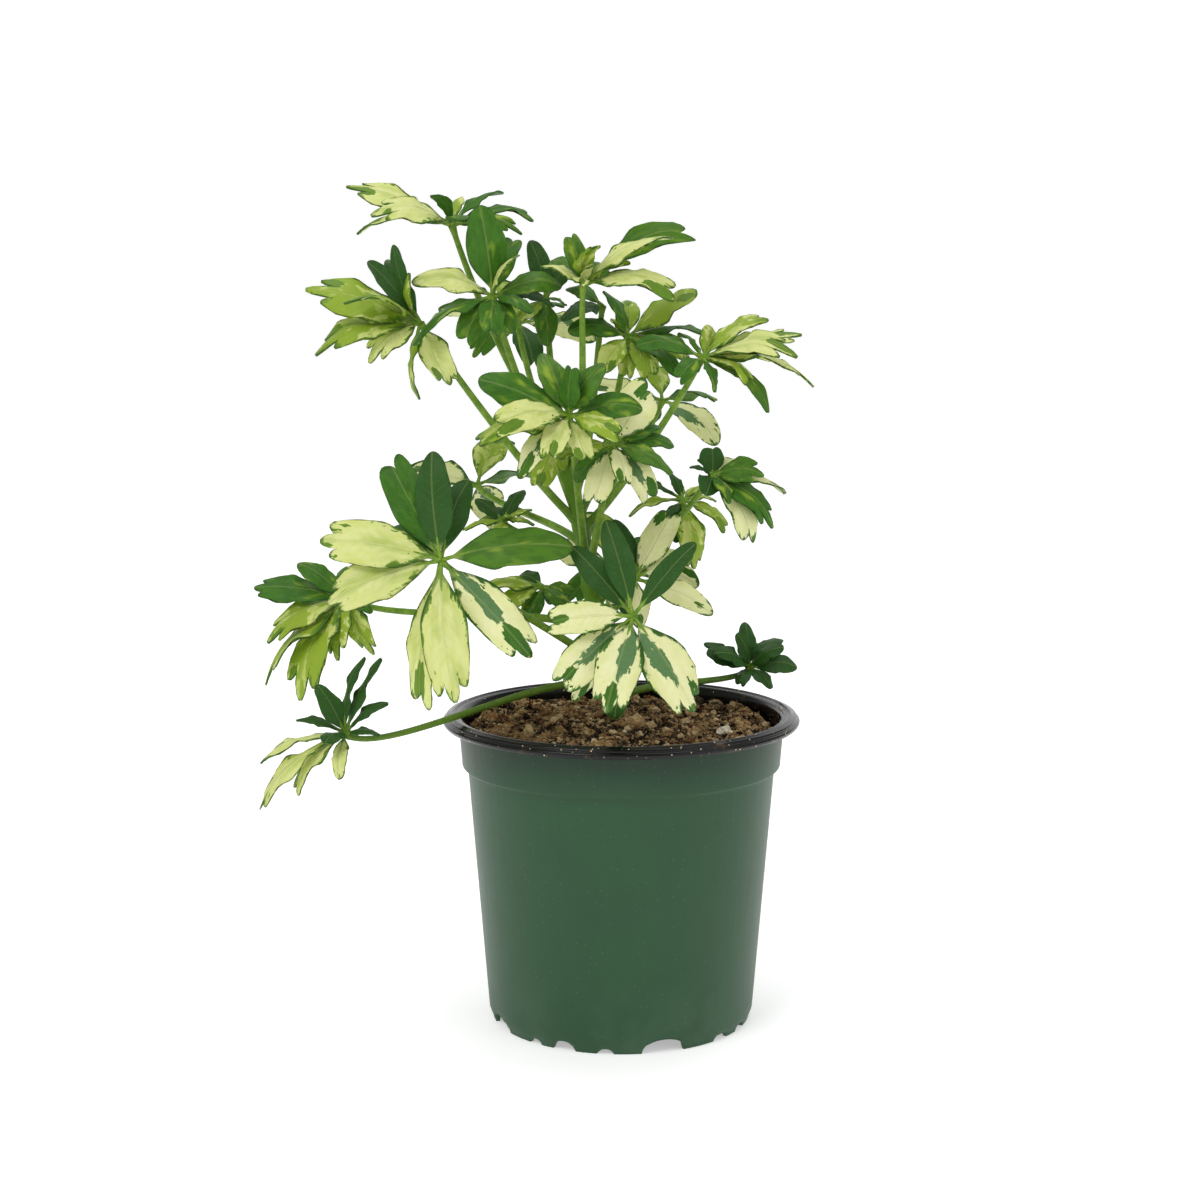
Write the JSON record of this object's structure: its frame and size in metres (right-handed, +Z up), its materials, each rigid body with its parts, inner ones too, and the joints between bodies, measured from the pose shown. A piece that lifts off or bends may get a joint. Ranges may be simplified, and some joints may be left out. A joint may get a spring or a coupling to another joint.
{
  "type": "potted umbrella plant",
  "caption": "Variegated dwarf umbrella plant with fan-shaped cream and green leaves, rooted in potting mix in a round tapered nursery pot",
  "frame": {"origin": "middle of the pot's underside, on the surface it stands on", "axes": "+Z up along the pot's axis, -Y towards the viewer of the picture, +X to the viewer's right"},
  "size_m": [0.1751, 0.1339, 0.2666],
  "materials": {
    "pot_plastic": "satin green moulded sheet with a black lip and inside",
    "potting_mix": "rough dark brown peat mix with pale crumbs",
    "stem_bark": "green-brown young bark",
    "leaf_blade": "cream and green variegated, softly glossy"
  },
  "bodies": {
    "root": {"pot": "pot_plastic", "soil": "potting_mix", "stem": "stem_bark", "leaf_front_star": "leaf_blade", "leaf_front_left": "leaf_blade", "leaf_far_left": "leaf_blade", "leaf_trailing": "leaf_blade", "leaf_top_left": "leaf_blade", "leaf_upper_left": "leaf_blade", "leaf_left": "leaf_blade", "leaf_upper_centre": "leaf_blade", "leaf_right": "leaf_blade", "leaf_centre_front": "leaf_blade", "leaf_centre_right": "leaf_blade", "leaf_right_front": "leaf_blade", "leaf_right_mid": "leaf_blade", "leaf_right_low": "leaf_blade", "leaf_rim_right": "leaf_blade", "leaf_upper_right": "leaf_blade", "leaf_dark_upper": "leaf_blade", "leaf_dark_top": "leaf_blade", "leaf_behind_centre": "leaf_blade", "leaf_under_centre": "leaf_blade", "leaf_young": "leaf_blade", "leaf_back_left": "leaf_blade", "leaf_back_right": "leaf_blade", "leaf_back_low": "leaf_blade", "leaf_back_top": "leaf_blade"}
  },
  "joints": []
}
